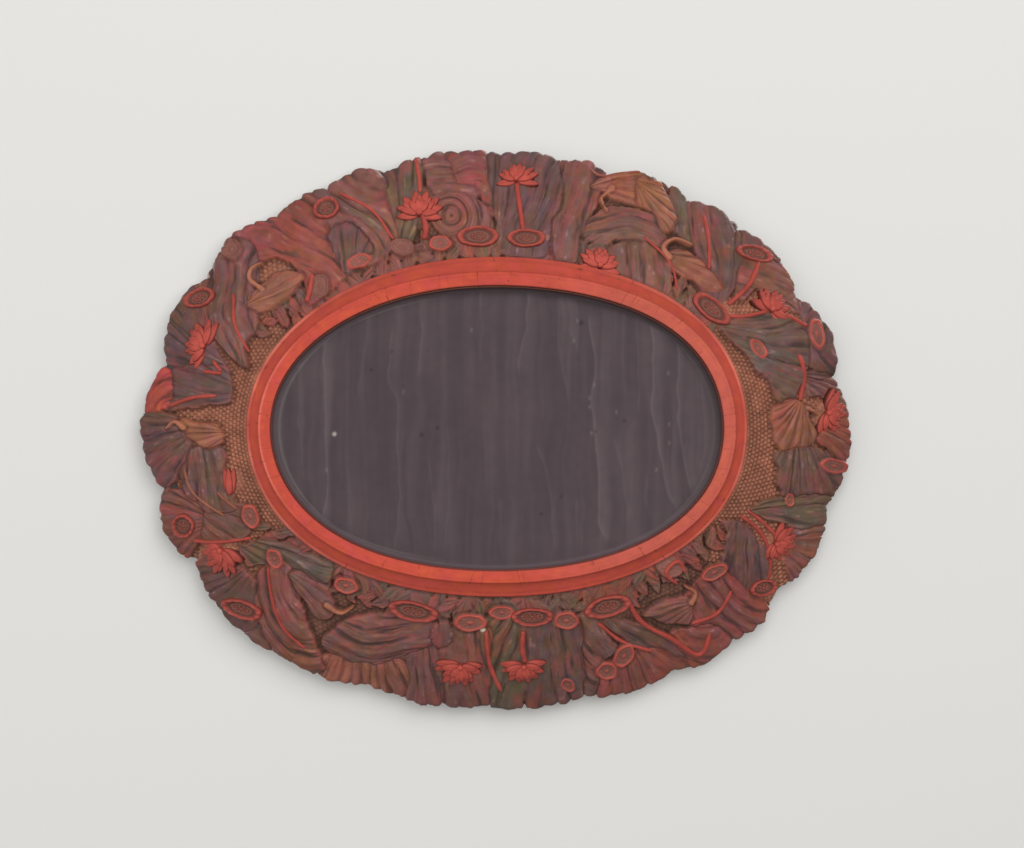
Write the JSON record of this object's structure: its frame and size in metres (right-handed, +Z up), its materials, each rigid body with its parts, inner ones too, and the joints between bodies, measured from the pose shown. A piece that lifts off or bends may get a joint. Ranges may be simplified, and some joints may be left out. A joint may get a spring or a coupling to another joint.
{
  "type": "carved lacquer dish",
  "caption": "Shallow oval dish on a low foot, with a lobed rim, a wall carved as pleated lotus leaves, and red blossoms and seed pods.",
  "frame": {"origin": "on the table, under the middle of the foot", "axes": "+Z up out of the open dish, +X along the long axis of the oval, +Y across it"},
  "size_m": [0.2405, 0.1886, 0.032],
  "materials": {
    "leaf_lacquer": "carved dark brown lacquer with red and ochre strata showing, satin",
    "red_lacquer": "cinnabar red lacquer, satin",
    "foot_red": "plain vermilion lacquer, worn satin",
    "brown_lacquer": "plain purplish brown lacquer over straight wood grain, satin",
    "core_wood": "bare softwood, hidden inside"
  },
  "bodies": {
    "root": {"base_lacquer": "brown_lacquer", "base_plank_1": "core_wood", "base_plank_2": "core_wood", "base_plank_3": "core_wood", "base_plank_4": "core_wood", "base_plank_5": "core_wood", "foot_hoop": "core_wood", "foot_lacquer": "foot_red", "inner_lacquer": "leaf_lacquer", "outer_lacquer": "leaf_lacquer", "red_bloom_1": "red_lacquer", "red_bloom_10": "red_lacquer", "red_bloom_11": "red_lacquer", "red_bloom_2": "red_lacquer", "red_bloom_3": "red_lacquer", "red_bloom_4": "red_lacquer", "red_bloom_5": "red_lacquer", "red_bloom_6": "red_lacquer", "red_bloom_7": "red_lacquer", "red_bloom_8": "red_lacquer", "red_bloom_9": "red_lacquer", "seed_pod_1": "red_lacquer", "seed_pod_10": "red_lacquer", "seed_pod_11": "red_lacquer", "seed_pod_12": "red_lacquer", "seed_pod_2": "red_lacquer", "seed_pod_3": "red_lacquer", "seed_pod_4": "red_lacquer", "seed_pod_5": "red_lacquer", "seed_pod_6": "red_lacquer", "seed_pod_7": "red_lacquer", "seed_pod_8": "red_lacquer", "seed_pod_9": "red_lacquer", "wall_hoop_1": "core_wood", "wall_hoop_2": "core_wood", "wall_hoop_3": "core_wood"}
  },
  "joints": []
}
